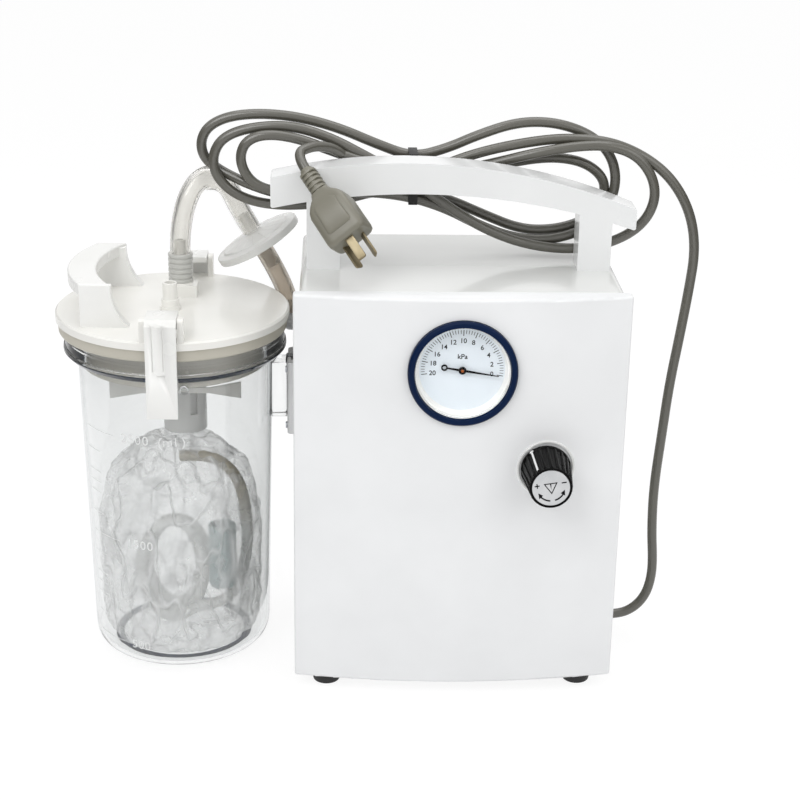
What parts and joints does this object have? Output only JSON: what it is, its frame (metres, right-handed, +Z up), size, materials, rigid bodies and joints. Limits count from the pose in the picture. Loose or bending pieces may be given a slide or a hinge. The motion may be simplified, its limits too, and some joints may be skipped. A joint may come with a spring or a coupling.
{
  "type": "vacuum aspirator",
  "caption": "Portable bench vacuum aspirator: cased diaphragm pump with gauge and regulator knob, arched handle, clip-lidded collecting jar on a side bracket and disc filter.",
  "frame": {"origin": "middle of the footprint of the case, jar and lid, on the table that the feet stand on", "axes": "+X from the jar to the cord side, +Y from the front panel to the back, +Z up"},
  "size_m": [0.4614, 0.2114, 0.404],
  "materials": {
    "case_white": "smooth semi-gloss moulded ABS",
    "panel_white": "fine satin moulded ABS",
    "handle_white": "satin moulded ABS",
    "lid_white": "slightly milky moulded polypropylene",
    "clip_white": "moulded acetal",
    "seal_beige": "beige silicone rubber",
    "jar_clear": "clear moulded polycarbonate",
    "film_clear": "crumpled clear polythene film",
    "hose_clear": "clear soft PVC tube",
    "connector_grey": "grey ribbed moulded plastic",
    "sleeve_green": "grey-green moulded plastic",
    "filter_milky": "milky polypropylene",
    "ring_navy": "glossy navy moulded plastic",
    "gauge_cream": "cream moulded plastic",
    "dial_pale": "pale blue printed sheet",
    "lens_clear": "clear glass",
    "black_plastic": "black moulded plastic",
    "cap_silver": "spun aluminium cap",
    "foot_black": "black rubber",
    "cord_grey": "grey-brown PVC sheath",
    "blade_brass": "drawn brass",
    "screw_steel": "zinc plated steel",
    "sheet_steel": "zinc plated sheet",
    "valve_brass": "turned brass",
    "pump_alloy": "die-cast aluminium",
    "coil_copper": "taped copper winding",
    "diaphragm_black": "black nitrile rubber"
  },
  "bodies": {
    "case": {"front_panel": "panel_white", "front_cover": "case_white", "rear_cover": "case_white", "base_plate": "sheet_steel", "case_screws": "screw_steel", "rubber_feet": "foot_black", "foot_screws": "screw_steel", "carry_handle": "handle_white", "handle_screws": "screw_steel", "gauge_ring": "ring_navy", "gauge_case": "gauge_cream", "gauge_dial": "dial_pale", "gauge_lens": "lens_clear", "gauge_capsule": "valve_brass", "regulator_body": "valve_brass", "regulator_nut": "valve_brass", "pump_mounts": "foot_black", "pump_frame": "sheet_steel", "pump_coils": "coil_copper", "pump_diaphragms": "diaphragm_black", "pump_heads": "pump_alloy", "silencer": "filter_milky", "inner_tubes": "hose_clear", "side_port": "panel_white", "switch_housing": "black_plastic", "fuse_holder": "black_plastic", "cord_gland": "foot_black", "jar_bracket": "panel_white", "bracket_screws": "screw_steel", "mains_cord_drop": "cord_grey", "mains_cord_lead": "cord_grey", "cord_hank": "cord_grey", "cord_tie": "foot_black", "plug_body": "cord_grey", "plug_blades": "blade_brass"},
    "pressure_knob": {"knob_skirt": "black_plastic", "knob_cap": "cap_silver", "knob_stem": "valve_brass"},
    "valve_plunger": {"regulator_plunger": "diaphragm_black"},
    "pointer": {"gauge_pointer": "black_plastic"},
    "power_rocker": {"switch_rocker": "black_plastic"},
    "armature": {"pump_armature": "screw_steel"},
    "jar": {"jar_vessel": "jar_clear", "accessory_bag": "film_clear", "suction_hose_coil": "hose_clear", "hose_connector": "sleeve_green"},
    "lid": {"lid_cover": "lid_white", "clip_pins": "screw_steel", "lid_gasket": "seal_beige", "lid_handle": "clip_white", "vacuum_connector": "connector_grey", "patient_port": "lid_white", "float_cage": "filter_milky", "filter_housing": "filter_milky", "hose_upper": "hose_clear", "hose_lower": "hose_clear"},
    "front_clip": {"clip_front": "clip_white"},
    "back_clip": {"clip_back": "clip_white"},
    "float": {"cutoff_float": "filter_milky"}
  },
  "joints": [
    {"name": "knob_turn", "type": "hinge", "parent": "case", "child": "pressure_knob", "pos_m": [0.1409, -0.08265, 0.1778], "axis": [0, -1, 0], "range_deg": [-135, 135]},
    {"name": "valve_travel", "type": "slide", "parent": "case", "child": "valve_plunger", "axis": [0, 1, 0], "range_m": [-0.00045, 0.00045]},
    {"name": "pointer_swing", "type": "hinge", "parent": "case", "child": "pointer", "pos_m": [0.0813, -0.06765, 0.2483], "axis": [0, -1, 0], "range_deg": [0, 197], "stiffness_Nm_per_rad": 0.00005, "springref_deg": -11.46},
    {"name": "rocker_tilt", "type": "hinge", "parent": "case", "child": "power_rocker", "pos_m": [0.1898, 0.04935, 0.062], "axis": [0, 0, 1], "range_deg": [-18, 0]},
    {"name": "armature_stroke", "type": "slide", "parent": "case", "child": "armature", "axis": [1, 0, 0], "range_m": [-0.0015, 0.0015], "stiffness_N_per_m": 2000},
    {"name": "jar_lift", "type": "slide", "parent": "case", "child": "jar", "axis": [0, 0, 1], "range_m": [0, 0.04]},
    {"name": "lid_lift", "type": "slide", "parent": "jar", "child": "lid", "axis": [0, 0, 1], "range_m": [0, 0.018]},
    {"name": "front_clip_swing", "type": "hinge", "parent": "lid", "child": "front_clip", "pos_m": [-0.1224, -0.06065, 0.2785], "axis": [-1, 0, 0], "range_deg": [0, 60.8]},
    {"name": "back_clip_swing", "type": "hinge", "parent": "lid", "child": "back_clip", "pos_m": [-0.1224, 0.09535, 0.2785], "axis": [1, 0, 0], "range_deg": [0, 60.8]},
    {"name": "float_rise", "type": "slide", "parent": "lid", "child": "float", "axis": [0, 0, 1], "range_m": [0, 0.026]}
  ],
  "couplings": [
    {"joint": "valve_travel", "follows": "knob_turn", "m_per_rad": 0.00019028},
    {"joint": "front_clip_swing", "follows": "lid_lift", "rad_per_m": 58},
    {"joint": "back_clip_swing", "follows": "lid_lift", "rad_per_m": 58}
  ]
}
